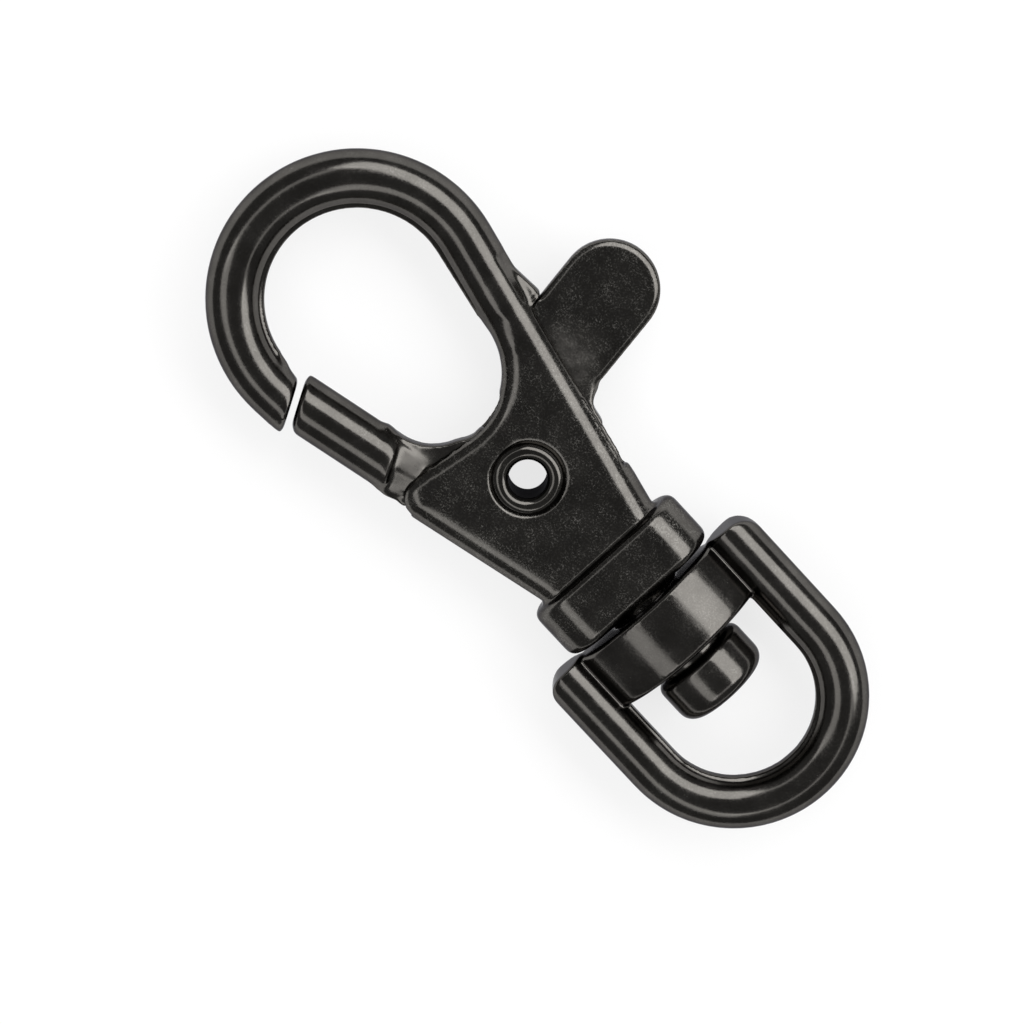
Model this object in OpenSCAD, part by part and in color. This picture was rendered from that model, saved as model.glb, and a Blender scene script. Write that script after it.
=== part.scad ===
// Swivel snap hook, die cast, with a trigger gate, a hollow rivet and a swivel eye.
// It lies flat. X runs along the stud axis toward the eye, Y toward the thumb tab.
// The origin is on the stud axis where the axis of the hollow rivet crosses it.

/* [Hook bowl] */
// Inner radius of the hook bowl, measured on its inner land
bowl_r = 6.65; // [5.5:0.05:7.0]
// Diameter of the hook bar
bar_d = 3.9; // [3.4:0.05:4.2]
// Distance of the bowl centre from the rivet, along the stud axis
bowl_x = 17.4; // [16.5:0.1:20]
// Sideways offset of the bowl and throat centres from the stud axis
bowl_y = 0.45; // [0:0.05:0.8]
// Angle at which the bowl ends and the straight nose begins
bowl_end_angle = 86; // [80:1:95]
// Length of the straight nose along its axis
nose_len = 1.75; // [1.6:0.05:2.4]
// Slant of the nose face and of the gate end face
nose_slant = 60; // [50:1:75]
// Edge radius of the nose and of the gate end
nose_round = 1.2; // [0.6:0.1:1.4]
// Gap between the nose and the gate end
nose_gap = 0.45; // [0.3:0.05:1.0]

/* [Body] */
// Edge radius round the throat, the horn and the lower edge
edge_round = 1.5; // [0.9:0.1:1.7]
// Distance of the throat centre from the rivet, along the stud axis
throat_x = 10.35; // [9.8:0.05:11.5]
// How far the inner land stands out from the bar
land_h = 0.3; // [0.1:0.05:0.4]
// Thickness of the inner land
land_t = 1.1; // [0.6:0.1:1.6]
// How far it still stands out where it ends at the throat
land_fade = 0.1; // [0.05:0.01:0.15]
// Slope of the spine's outer edge
spine_slope = 12.3; // [11:0.1:13]
// Slope of the lower edge of the cheeks
lower_slope = 14.3; // [12:0.1:16]
// Distance of the lower edge from the rivet axis
lower_dist = 7.05; // [6.8:0.05:7.3]
// Lean of the cheek edge between throat and horn
horn_lean = 8; // [4:1:12]
// Width of the slot between the cheeks
slot_w = 1.8; // [1.6:0.1:2.0]
// Length of the shoulder that the thumb tab closes against
stop_len = 4.2; // [3.2:0.1:5.0]
// Height of that shoulder above the spine
stop_h = 0.65; // [0.3:0.05:0.9]

/* [Collar and stud] */
// Where the collar begins
collar_x = 7.75; // [7:0.05:8.5]
// Length of the collar along the stud axis
collar_len = 4.3; // [3.5:0.1:5]
// Width of the collar
collar_w = 13.2; // [11.5:0.1:14]
// Thickness of the collar
collar_t = 6.2; // [5.8:0.1:7]
// Edge radius of the collar
collar_round = 0.7; // [0.2:0.1:1.0]
// Radius of the stud shank
shank_r = 2.8; // [2.3:0.1:3.0]
// Radius of the stud head
head_r = 3.7; // [3.3:0.1:4.2]
// Length of the stud head
head_len = 3.55; // [2.5:0.05:5]
// Edge radius at the free end of the head
head_round = 1.1; // [0.4:0.1:1.4]
// Edge radius at the barrel side of the head
head_back_round = 0.6; // [0.2:0.1:0.9]

/* [Swivel eye] */
// Outer half width of the eye
eye_r = 9.75; // [9.2:0.05:11]
// Diameter of the eye bar
eye_bar_d = 3.7; // [3.2:0.1:4.2]
// Distance from the barrel to the centre of the bow
eye_reach = 9.75; // [9:0.05:13]
// Length of the barrel along the stud axis
barrel_len = 4.85; // [4:0.05:6]
// Thickness of the barrel over its crown
barrel_t = 8.2; // [7.8:0.1:9]
// Crown radius of the barrel faces
barrel_crown_r = 7.8; // [7.4:0.1:9]
// Edge radius of the barrel faces
barrel_round = 0.45; // [0.2:0.05:0.6]
// Outer corner radius of the eye in plan
eye_corner_r = 1.7; // [0.6:0.1:1.8]
// Length of the eye arms past the collar side of the barrel
arm_overhang = 0.15; // [0:0.05:0.3]
// Thickness of the land round the inside of the eye
eye_land_t = 1.1; // [0.6:0.1:1.6]
// How far the eye land stands out from the bar
eye_land_h = 0.2; // [0.1:0.05:0.4]
// Gap between collar and barrel
barrel_gap = 0.4; // [0.2:0.05:0.8]
// End play between barrel and head
end_play = 0.6; // [0.3:0.05:1.0]
// Radial clearance of the stud in the barrel
stud_clear = 0.08; // [0.03:0.01:0.15]

/* [Gate lever] */
// Diameter of the gate bar
gate_d = 4.15; // [3.7:0.05:4.25]
// Slope of the gate bar when it is closed
gate_slope = 13.8; // [12:0.1:15]
// Distance of the gate bar axis from the rivet axis
gate_dist = 4.7; // [4.5:0.05:4.9]
// Distance from the rivet to the shoulder where the gate bar ends
shoulder_x = 7.15; // [6.9:0.05:7.6]
// Thickness of the lever plate and thumb tab
lever_t = 1.6; // [1.3:0.05:1.7]
// Radius of the lever hub
hub_r = 3.6; // [3.3:0.05:3.7]
// Radius of the round end of the thumb tab
tab_r = 3.6; // [2.8:0.1:3.8]
// Place of the tab's round end along the stud axis
tab_x = 5.95; // [5.5:0.05:6.2]
// Height of the centre of the tab's round end above the stud axis
tab_y = 13.3; // [12:0.1:16]
// Lean of the thumb tab
tab_lean = 9; // [7:0.5:10]
// Width of the bevelled rim round the tab
tab_rim = 0.45; // [0.2:0.05:0.7]
// Depth of the bevelled rim
tab_rim_depth = 0.25; // [0.1:0.05:0.4]
// Radius of the fillet where the tab meets the spine
tab_fillet = 1.2; // [0.5:0.1:1.4]
// Radius of the curve from the gate bar into the throat
tongue_r = 3.9; // [3.5:0.1:4.2]
// Opening angle of the lever
open_angle = 25; // [15:1:25]
// Clearance round the moving lever inside the body
lever_clear = 0.25; // [0.1:0.05:0.35]

/* [Rivet] */
// Radius of the hole through the hollow rivet
rivet_hole_r = 1.4; // [1.1:0.05:1.5]
// Wall of the hollow rivet
rivet_wall = 0.35; // [0.25:0.05:0.45]
// Outer radius of the rolled rivet head
rivet_head_r = 2.6; // [2.4:0.05:2.8]
// Depth of the seat in the cheeks
rivet_seat = 0.2; // [0.1:0.05:0.3]
// Radial gap round the rivet head in its seat
rivet_seat_gap = 0.2; // [0.1:0.05:0.3]
// Running clearance of the lever on the rivet
rivet_clear = 0.05; // [0.02:0.01:0.08]

/* [Spring] */
// Wire diameter of the torsion spring
wire_d = 0.38; // [0.3:0.02:0.42]
// Mean radius of the coil
coil_r = 2.22; // [2.15:0.01:2.3]
// Number of turns
coil_turns = 2; // [1:1:2]
// Gap between two turns
turn_gap = 0.04; // [0.02:0.01:0.06]
// Length of the leg that rests in the body
leg_len = 3.7; // [3.5:0.1:4.0]
// Length of the leg that is held in the hub
arm_len = 1.9; // [1.6:0.1:2.1]
// Clearance round the coil in its pocket
coil_clear = 0.2; // [0.1:0.05:0.25]

/* [Hidden] */
$fn = 72;
// Reach of cutting tools past the part
far = 30;

// Hook bar and bowl
bar_r = bar_d / 2;
bowl_c = [-bowl_x, -bowl_y];
bowl_out_r = bowl_r + land_h + bar_d;
bar_path_r = bowl_out_r - bar_r;
plate_r = bar_r;
body_t = bar_d;
throat_c = [-throat_x, -bowl_y];

// A point at a radius and angle from a centre
function polar(c, r, a) = c + r * [cos(a), sin(a)];
// Unit vector at an angle
function dir(a) = [cos(a), sin(a)];
// Point turned about the rivet axis
function turned(p, a) = [p[0] * cos(a) - p[1] * sin(a), p[0] * sin(a) + p[1] * cos(a)];
// Height of a line through a point at a slope
function line_y(p, slope, x) = p[1] + (x - p[0]) * tan(slope);

// Half length and radius of the core that joins bowl and spine
core_len = 1;
core_r = 1.5;

// Outer edge of the spine, tangent to the outside of the bowl
spine_tan = 90 - spine_slope;
spine_p = polar(bowl_c, bowl_out_r, spine_tan);
spine_path_p = polar(bowl_c, bar_path_r, spine_tan);
// The inner land stops this far before the throat, and this angle past the end of the bowl
land_stop = 0.4;
land_over = 3;
function spine_y(x) = line_y(spine_p, -spine_slope, x);
function spine_path_y(x) = line_y(spine_path_p, -spine_slope, x);
// The throat is tangent to the inside of the spine bar
throat_path_r = (spine_path_p - throat_c) * dir(spine_tan);
throat_r = throat_path_r - plate_r;
spine_end = polar(throat_c, throat_path_r, spine_tan);
core_a = spine_path_p - core_len * dir(-spine_slope);
core_b = spine_path_p + core_len * dir(-spine_slope);

// Lower edge of the cheeks
low_n = lower_slope - 90;
low_p = lower_dist * dir(low_n);
low_path_p = (lower_dist - plate_r) * dir(low_n);
function low_y(x) = line_y(low_p, lower_slope, x);
function low_path_y(x) = line_y(low_path_p, lower_slope, x);
// The cheek edge runs on straight from the throat to the horn
throat_end = polar(throat_c, throat_path_r, -horn_lean);
horn_run = dir(-90 - horn_lean);
horn_drop = throat_end[1] - low_path_y(throat_end[0]);
horn_reach = horn_drop / (horn_run[0] * tan(lower_slope) - horn_run[1]);
horn = throat_end + horn_reach * horn_run;
horn_x = -horn[0];
// Depth at which the shoulder starts inside the spine
stop_sink = 0.5;
// Thickness of the shoulder
stop_t = 2.6;
// Rods and plate run a little way into the collar
plate_end_x = collar_x + collar_round;
spine_q = [plate_end_x, spine_path_y(plate_end_x)];
low_q = [plate_end_x, low_path_y(plate_end_x)];

// The nose runs on straight from the end of the bowl
nose_dir = 90 - bowl_end_angle;
nose_start = polar(bowl_c, bar_path_r, -bowl_end_angle);
tip_c = nose_start + nose_len * dir(nose_dir);
// Direction that the nose face looks, toward the gate
nose_look = 90 - nose_slant;
cap_len = nose_round + 0.05;
// Radius of the rounded cap that clears a bar which meets it at a slant
function cap_radius(r, slant) = r / cos(slant) + cap_len * tan(slant) + 0.03;

// Collar and stud
collar_end = collar_x + collar_len;
barrel_x = collar_end + barrel_gap;
head_x = barrel_x + barrel_len + end_play;
head_end = head_x + head_len;

// Swivel eye
eye_bar_r = eye_bar_d / 2;
eye_path_r = eye_r - eye_bar_r;
bow_x = barrel_x + eye_reach;
barrel_drop = barrel_crown_r - barrel_t / 2;
arm_x = barrel_x - arm_overhang;
eye_in_r = eye_path_r - eye_bar_r;

// Gate lever in its closed place
gate_n = gate_slope - 90;
gate_p = gate_dist * dir(gate_n);
function gate_y(x) = line_y(gate_p, gate_slope, x);
function gate_at(x) = [x, gate_y(x)];
// Where the gate end face crosses the gate axis
gate_face_p = tip_c + nose_gap * dir(nose_look);
face_t = tan(nose_look + 90);
gate_tip_x = (gate_face_p[1] - face_t * gate_face_p[0] - gate_y(0)) / (tan(gate_slope) - face_t);
gate_tip = gate_at(gate_tip_x);
gate_root = gate_at(-shoulder_x);
tab_c = [-tab_x, tab_y];
tab_side = polar(tab_c, tab_r, 180 + tab_lean);
tab_side_r = polar(tab_c, tab_r, tab_lean);
function tab_left_x(y) = tab_side[0] + (tab_side[1] - y) * tan(tab_lean);
function tab_right_x(y) = tab_side_r[0] + (tab_side_r[1] - y) * tan(tab_lean);
// Height at which the web leaves the line of the tab
web_y = 7.4;
web_p = [tab_left_x(web_y), web_y];
// Flush edge of the lever beside the tab
flush_x = 0.8;
flush_in = 0.12;
flush_p = [flush_x, spine_y(flush_x) - flush_in];
// Radius of the space that the hub turns in
slot_r = hub_r + lever_clear;
// Right end of the slot, past the swing of the flush edge
slot_end_x = turned(flush_p, -open_angle)[0] + 2 * lever_clear;
// Edge of the web between hub and tab
web_from = 147;
web_run = web_p - polar([0, 0], hub_r, web_from);
web_angle = atan2(web_run[1], web_run[0]);
// Where the tongue leaves the hub, and the inner side of the throat
tongue_from = 168;
throat_in_x = -throat_x + throat_r;
// Start of the tongue's curve on the upper side of the gate bar
curve_x = -7.6;
gate_top_p = gate_at(curve_x) - (gate_d / 2) * dir(gate_n);
tongue_c = gate_top_p - tongue_r * dir(gate_n);

// Rivet
rivet_r = rivet_hole_r + rivet_wall;
roll_r = (rivet_head_r - rivet_hole_r) / 2;
seat_z = body_t / 2 - rivet_seat;
seat_r = rivet_head_r + rivet_seat_gap;

// Spring pocket in the hub, open toward the upper cheek
wire_r = wire_d / 2;
hub_t = lever_t + 0.1;
pitch = wire_d + turn_gap;
coil_h = coil_turns * pitch + wire_d;
pocket_top = hub_t / 2;
coil_z = pocket_top - coil_clear / 2 - coil_h + wire_r;
pocket_floor = coil_z - wire_r - coil_clear / 4;
pocket_r = coil_r + wire_r + coil_clear;
leg_z = coil_z + coil_turns * pitch;
// Directions in which the two legs leave the coil
leg_angle = -60;
arm_angle = -240;
// Side of the window in the hub along the fixed leg
window_p = polar([0, 0], pocket_r, leg_angle);
window_q = window_p + 5 * dir(leg_angle + 90);

// Rod with its axis in the middle plane, from one point to another
module rod(p, q, r1, r2) {
    v = q - p;
    translate([p[0], p[1], 0])
        rotate([0, 0, atan2(v[1], v[0])])
            rotate([0, 90, 0])
                cylinder(h = norm(v), r1 = r1, r2 = r2);
}

// Ball at a point of the middle plane
module ball(p, r) {
    translate([p[0], p[1], 0])
        sphere(r = r);
}

// Curved bar of round section about a centre in the middle plane
module bent_bar(c, path_r, r, from, to) {
    translate([c[0], c[1], 0])
        rotate([0, 0, from])
            rotate_extrude(angle = to - from)
                translate([path_r, 0])
                    circle(r = r);
}

// Plate of a given thickness centred on the middle plane
module slab(t) {
    translate([0, 0, -t / 2])
        linear_extrude(height = t)
            children();
}

// Half plane that lies ahead of a point in one direction
module ahead(p, a) {
    translate([p[0], p[1], 0])
        rotate([0, 0, a])
            translate([0, -far, -far])
                cube([2 * far, 2 * far, 2 * far]);
}

// Rounded end cap that a bar is trimmed with, looking along +X
module cap(cap_r) {
    rotate([0, 90, 0])
        rotate_extrude()
            difference() {
                translate([0, -cap_len])
                    square([cap_r, cap_len]);
                corner_cut([cap_r, 0], nose_round, -1);
            }
}

// Bar trimmed to a slanted end face with rounded edges
module trimmed(p, a, cap_r) {
    difference() {
        children();
        ahead(p - cap_len * dir(a), a);
    }
    intersection() {
        children();
        translate([p[0], p[1], 0])
            rotate([0, 0, a])
                cap(cap_r);
    }
}

// Land round the inside of the bowl and along the spine
module inner_land() {
    nose_back = polar(bowl_c, far, -bowl_end_angle - land_over);
    back = land_stop * dir(-spine_slope);
    end_p = polar(throat_c, throat_r, spine_tan) - back;
    a = 90 - asin((bowl_r - throat_r + land_fade) / (bowl_x - throat_x));
    slab(land_t)
        difference() {
            union() {
                translate(bowl_c)
                    circle(r = bar_path_r);
                polygon([bowl_c, spine_path_p, spine_end - back, end_p]);
            }
            translate(bowl_c)
                circle(r = bowl_r);
            polygon([
                bowl_c,
                nose_back,
                [far, -far],
                end_p - land_fade * dir(spine_tan),
                polar(bowl_c, bowl_r, a)
            ]);
        }
}

// Section of a plate edge, with its outer side at x = plate_r
module edge_profile(r) {
    difference() {
        translate([0, -plate_r])
            square([plate_r, 2 * plate_r]);
        corner_cut([plate_r, -plate_r], r, 1);
        corner_cut([plate_r, plate_r], r, -1);
    }
}

// Straight edge from one point to another, with its outer side to the left
module straight_edge(p, q, r) {
    v = q - p;
    translate([p[0], p[1], 0])
        rotate([0, 0, atan2(v[1], v[0])])
            rotate([90, 0, 90])
                linear_extrude(height = norm(v))
                    edge_profile(r);
}

// Edge of the cheeks round the throat
module throat_edge() {
    translate([throat_c[0], throat_c[1], 0])
        rotate([0, 0, -horn_lean])
            rotate_extrude(angle = spine_tan + horn_lean)
                translate([throat_path_r, 0])
                    mirror([1, 0])
                        edge_profile(edge_round);
}

// Round corner between the cheek edge and the lower edge
module horn_corner() {
    translate([horn[0], horn[1], 0])
        rotate([0, 0, 180 - horn_lean])
            rotate_extrude(angle = 90 + horn_lean + lower_slope)
                edge_profile(edge_round);
}

// Plate between the edges of the cheeks
module cheek_plate() {
    slab(body_t)
        difference() {
            polygon([spine_end, spine_q, low_q, horn, throat_end, throat_c]);
            translate(throat_c)
                circle(r = throat_path_r);
        }
}

// Shoulder on the spine that the thumb tab closes against
module stop_shoulder() {
    y1 = spine_y(-tab_x - tab_r) + stop_h;
    x1 = tab_left_x(y1);
    x0 = x1 - stop_len;
    slab(stop_t)
        polygon([
            [x0, spine_y(x0) - stop_sink],
            [x1, y1],
            [tab_left_x(y1 - 2), y1 - 2],
            [x0, spine_y(x0) - 2]
        ]);
}

// Space in which the lever swings
module lever_slot() {
    web_out = lever_clear * dir(web_angle + 90);
    low_x = -horn_x - 0.5;
    slab(slot_w)
        union() {
            circle(r = slot_r);
            polygon([
                polar([0, 0], hub_r, web_from) + web_out,
                web_p + web_out,
                web_p,
                [tab_left_x(tab_y), tab_y],
                [slot_end_x + 2, tab_y],
                [slot_end_x, spine_y(slot_end_x)],
                [slot_r, 0],
                [0, 0]
            ]);
            polygon([
                [0, 0],
                polar([0, 0], slot_r, tongue_from - open_angle - 2),
                [throat_in_x - 2, polar([0, 0], slot_r, tongue_from - open_angle - 2)[1]],
                [-horn_x - 6, -horn_x],
                [-horn_x - 6, low_y(-horn_x) - 3],
                [low_x, low_y(low_x) - 1],
                [low_x, low_y(low_x) - lever_clear],
                turned([slot_r, 0], -70)
            ]);
        }
}

// Collar: a flattened block with round ends and rounded edges
module collar() {
    r = collar_t / 2;
    y = collar_w / 2 - r;
    for (s = [-1, 1])
        translate([collar_x, s * y, 0])
            rotate([0, 90, 0])
                rotate_extrude()
                    half_section(r, collar_len, collar_round, collar_round);
    translate([collar_x, y, 0])
        rotate([90, 0, 0])
            linear_extrude(height = 2 * y) {
                rotate([0, 0, -90])
                    half_section(r, collar_len, collar_round, collar_round);
                mirror([0, 1])
                    rotate([0, 0, -90])
                        half_section(r, collar_len, collar_round, collar_round);
            }
}

// Half section of a turned disc that starts at the origin and grows along +Y
module half_section(r, len, round_a, round_b) {
    difference() {
        square([r, len]);
        corner_cut([r, 0], round_a, 1);
        corner_cut([r, len], round_b, -1);
    }
}

// Material outside the quarter circle at one outer corner
module corner_cut(p, r, s) {
    difference() {
        translate([p[0] - r, s > 0 ? p[1] - 1 : p[1] - r])
            square([r + 1, r + 1]);
        translate([p[0] - r, p[1] + s * r])
            circle(r = r);
    }
}

// Stud shank and head, cast with the body through the eye
module stud() {
    translate([collar_end - 1, 0, 0])
        rotate([0, 90, 0])
            cylinder(h = head_x - collar_end + 2, r = shank_r);
    translate([head_x, 0, 0])
        rotate([0, 90, 0])
            rotate_extrude()
                half_section(head_r, head_len, head_back_round, head_round);
}

module hook_body() {
    color([0.27, 0.27, 0.26])
        difference() {
            union() {
                bent_bar(bowl_c, bar_path_r, bar_r, spine_tan, 360 - bowl_end_angle);
                trimmed(tip_c, nose_look, cap_radius(bar_r, abs(nose_look - nose_dir)))
                    rod(nose_start, tip_c + bar_d * dir(nose_dir), bar_r, bar_r);
                rod(spine_path_p, spine_end, bar_r, bar_r);
                rod(core_a, core_b, core_r, core_r);
                straight_edge(spine_end, spine_q, plate_r);
                throat_edge();
                straight_edge(horn, throat_end, edge_round);
                horn_corner();
                straight_edge(low_q, horn, edge_round);
                cheek_plate();
                inner_land();
                stop_shoulder();
                collar();
                stud();
            }
            lever_slot();
            // Hole for the rivet
            cylinder(h = 2 * far, r = rivet_r, center = true);
            // Seats for the two rolled heads
            for (s = [0, 1])
                mirror([0, 0, s])
                    translate([0, 0, seat_z])
                        cylinder(h = far, r = seat_r);
            // Pocket in the slot wall for the fixed leg of the spring
            spring_leg_bore();
        }
}

// Plan of the lever plate, without the gate bar
module lever_plan() {
    difference() {
        union() {
            circle(r = hub_r);
            // Thumb tab with its round end
            translate(tab_c)
                circle(r = tab_r);
            polygon([
                tab_side,
                tab_side_r,
                [tab_right_x(spine_y(-1)), spine_y(-1) - flush_in],
                flush_p,
                turned([hub_r, 0], 20),
                [0, 0],
                polar([0, 0], hub_r, web_from),
                web_p
            ]);
            // Tongue that carries the gate bar
            polygon([
                [0, 0],
                polar([0, 0], hub_r, tongue_from),
                [throat_in_x - 0.2, 0],
                gate_top_p + [0, 1.2],
                gate_top_p + [-1.5, 0],
                gate_root + (gate_d / 2 - 0.05) * dir(gate_n) - [1.5, 0.2],
                [-horn_x - 0.7, low_y(-horn_x - 0.7) + 0.02],
                turned([hub_r, 0], -72)
            ]);
            tab_root_fillet();
        }
        translate(tongue_c)
            circle(r = tongue_r);
    }
}

// Fillet between the edge of the tab and the flush edge of the lever
module tab_root_fillet() {
    half = (90 + spine_slope - tab_lean) / 2;
    y0 = spine_y(-1) - flush_in;
    p = [tab_right_x(y0), y0];
    reach = tab_fillet / tan(half);
    c = p + (tab_fillet / sin(half)) * dir(-spine_slope + half);
    difference() {
        polygon([
            p - [0.3, 0.3],
            p + reach * dir(90 + tab_lean),
            c,
            p + reach * dir(-spine_slope)
        ]);
        translate(c)
            circle(r = tab_fillet);
    }
}

// Bevel that runs round the face of the thumb tab
module tab_bevel() {
    z = lever_t / 2;
    for (s = [0, 1])
        mirror([0, 0, s])
            difference() {
                translate([tab_c[0], tab_c[1], z - tab_rim_depth])
                    rotate([0, 0, tab_lean])
                        difference() {
                            union() {
                                cylinder(h = 1, r = tab_r + 1);
                                translate([-tab_r - 1, -tab_y, 0])
                                    cube([2 * tab_r + 2, tab_y, 1]);
                            }
                            cylinder(h = 1, r1 = tab_r, r2 = tab_r - tab_rim / tab_rim_depth);
                            rotate([90, 0, 0])
                                linear_extrude(height = tab_y + 1)
                                    polygon([
                                        [-tab_r, 0],
                                        [tab_r, 0],
                                        [tab_r - tab_rim / tab_rim_depth, 1],
                                        [-tab_r + tab_rim / tab_rim_depth, 1]
                                    ]);
                        }
                // The bevel stops at the spine
                translate([-far, -far, -1])
                    linear_extrude(height = far)
                        polygon([
                            [0, 0],
                            [2 * far, 0],
                            [2 * far, spine_y(far) + far + 0.4],
                            [0, spine_y(-far) + far + 0.4]
                        ]);
            }
}

module gate_lever() {
    root_out = gate_root + 0.6 * dir(gate_slope);
    color([0.3, 0.3, 0.29])
        difference() {
            union() {
                slab(lever_t)
                    lever_plan();
                cylinder(h = hub_t, r = hub_r, center = true);
                // Gate bar, trimmed at its free end and at the shoulder
                difference() {
                    trimmed(gate_tip, nose_look + 180, cap_radius(gate_d / 2, abs(nose_look - gate_slope)))
                        rod(root_out, gate_tip - 2 * dir(gate_slope), gate_d / 2, gate_d / 2);
                    ahead(gate_root, nose_look);
                }
            }
            tab_bevel();
            // Running bore on the rivet
            cylinder(h = 2 * far, r = rivet_r + rivet_clear, center = true);
            // Pocket for the coil
            translate([0, 0, pocket_floor])
                cylinder(h = hub_t, r = pocket_r);
            // Window that lets the fixed leg swing
            translate([0, 0, leg_z - wire_r - coil_clear / 2])
                linear_extrude(height = hub_t)
                    polygon([
                        [0, 0],
                        window_p,
                        window_q,
                        turned(window_q, open_angle + 5)
                    ]);
            // Notch that holds the moving leg
            spring_arm_notch();
        }
}

module pivot_rivet() {
    color([0.33, 0.33, 0.32])
        rotate_extrude()
            union() {
                translate([rivet_hole_r, -seat_z])
                    square([rivet_wall, 2 * seat_z]);
                for (s = [0, 1])
                    mirror([0, s])
                        intersection() {
                            translate([rivet_hole_r + roll_r, seat_z])
                                circle(r = roll_r);
                            translate([0, seat_z])
                                square([2 * rivet_head_r, 2 * roll_r]);
                        }
            }
}

// Start of the fixed leg on the coil
leg_start = polar([0, 0], coil_r, leg_angle);
leg_end = leg_start + leg_len * dir(leg_angle + 90);

// Small bore in the body that the fixed leg enters
module spring_leg_bore() {
    translate([leg_start[0], leg_start[1], leg_z])
        rotate([0, 0, leg_angle + 90])
            rotate([0, 90, 0])
                cylinder(h = leg_len + 0.5, r = wire_r + 0.1);
}

// Notch in the hub that holds the moving leg
module spring_arm_notch() {
    p = polar([0, 0], coil_r, arm_angle);
    translate([p[0], p[1], coil_z])
        rotate([0, 0, arm_angle - 90])
            rotate([0, 90, 0])
                cylinder(h = arm_len + wire_r, r = wire_r + 0.03);
}

// Rings of points round the wire: moving leg, coil, fixed leg
ring_n = 10;
ring_steps = 20;
coil_sweep = coil_turns * 360 + leg_angle - arm_angle - 360;
coil_rings = round(coil_sweep / 360 * ring_steps);
ring_count = coil_rings + 2;
function ring_turn(i) = min(max(i - 1, 0), coil_rings) / coil_rings;
function ring_angle(i) = arm_angle + coil_sweep * ring_turn(i);
function ring_shift(i) = i == 0 ? -arm_len : i == ring_count ? leg_len : 0;
function wire_ring(i) =
    let (a = ring_angle(i),
         c = polar([0, 0], coil_r, a) + ring_shift(i) * dir(a + 90),
         z = coil_z + (leg_z - coil_z) * ring_turn(i))
    [for (k = [0:ring_n - 1])
        let (b = 360 * k / ring_n, p = polar(c, wire_r * cos(b), a))
        [p[0], p[1], z + wire_r * sin(b)]];

module gate_spring() {
    pts = [for (i = [0:ring_count]) each wire_ring(i)];
    sides = [for (i = [0:ring_count - 1], k = [0:ring_n - 1])
        let (m = (k + 1) % ring_n)
        [i * ring_n + k, i * ring_n + m, (i + 1) * ring_n + m, (i + 1) * ring_n + k]];
    first = [for (k = [0:ring_n - 1]) ring_n - 1 - k];
    last = [for (k = [0:ring_n - 1]) ring_count * ring_n + k];
    color([0.6, 0.6, 0.58])
        polyhedron(points = pts, faces = concat(sides, [first], [last]));
}

// Loop of the eye: two arms and a half round bow
module eye_loop() {
    bent_bar([bow_x, 0], eye_path_r, eye_bar_r, -90, 90);
    for (s = [-1, 1])
        intersection() {
            rod([arm_x, s * eye_path_r], [bow_x, s * eye_path_r], eye_bar_r, eye_bar_r);
            slab(2 * eye_bar_d)
                arm_plan(s);
        }
}

// Plan of one arm with its rounded outer corner
module arm_plan(s) {
    w = eye_path_r + eye_bar_r;
    difference() {
        translate([arm_x, s > 0 ? 0 : -w])
            square([bow_x - arm_x, w]);
        mirror([0, s > 0 ? 0 : 1])
            difference() {
                translate([arm_x - 1, w - eye_corner_r])
                    square([eye_corner_r + 1, eye_corner_r + 1]);
                translate([arm_x + eye_corner_r, w - eye_corner_r])
                    circle(r = eye_corner_r);
            }
    }
}

// Land round the inside of the eye
module eye_land() {
    x1 = barrel_x + barrel_len - 1;
    slab(eye_land_t)
        difference() {
            union() {
                translate([bow_x, 0])
                    circle(r = eye_path_r);
                translate([x1, -eye_path_r])
                    square([bow_x - x1, 2 * eye_path_r]);
            }
            translate([bow_x, 0])
                circle(r = eye_in_r - eye_land_h);
            translate([x1 - 1, -eye_in_r + eye_land_h])
                square([bow_x - x1 + 1, 2 * (eye_in_r - eye_land_h)]);
        }
}

// Barrel between the arms: two crowned faces that meet at the arms
module barrel() {
    w = eye_path_r - 0.4;
    intersection() {
        for_crown(1);
        for_crown(-1);
        translate([barrel_x - 1, -w, -barrel_t])
            cube([barrel_len + 2, 2 * w, 2 * barrel_t]);
    }
}

// Disc whose rim is one crowned face of the barrel
module for_crown(s) {
    translate([barrel_x, 0, -s * barrel_drop])
        rotate([0, 90, 0])
            rotate_extrude()
                half_section(barrel_crown_r, barrel_len, barrel_round, barrel_round);
}

module swivel_eye() {
    color([0.29, 0.29, 0.28])
        difference() {
            union() {
                eye_loop();
                barrel();
                eye_land();
            }
            // Bore that turns on the stud
            translate([barrel_x - 2, 0, 0])
                rotate([0, 90, 0])
                    cylinder(h = barrel_len + 4, r = shank_r + stud_clear);
        }
}

hook_body();
gate_lever();
pivot_rivet();
gate_spring();
swivel_eye();
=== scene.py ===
"""Looks of a swivel snap hook: plated castings, rivet, spring wire, floor, lamps and camera."""

import math

import bpy
import numpy
from bpy.props import FloatProperty, FloatVectorProperty, PointerProperty
from mathutils import Matrix, Vector


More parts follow.
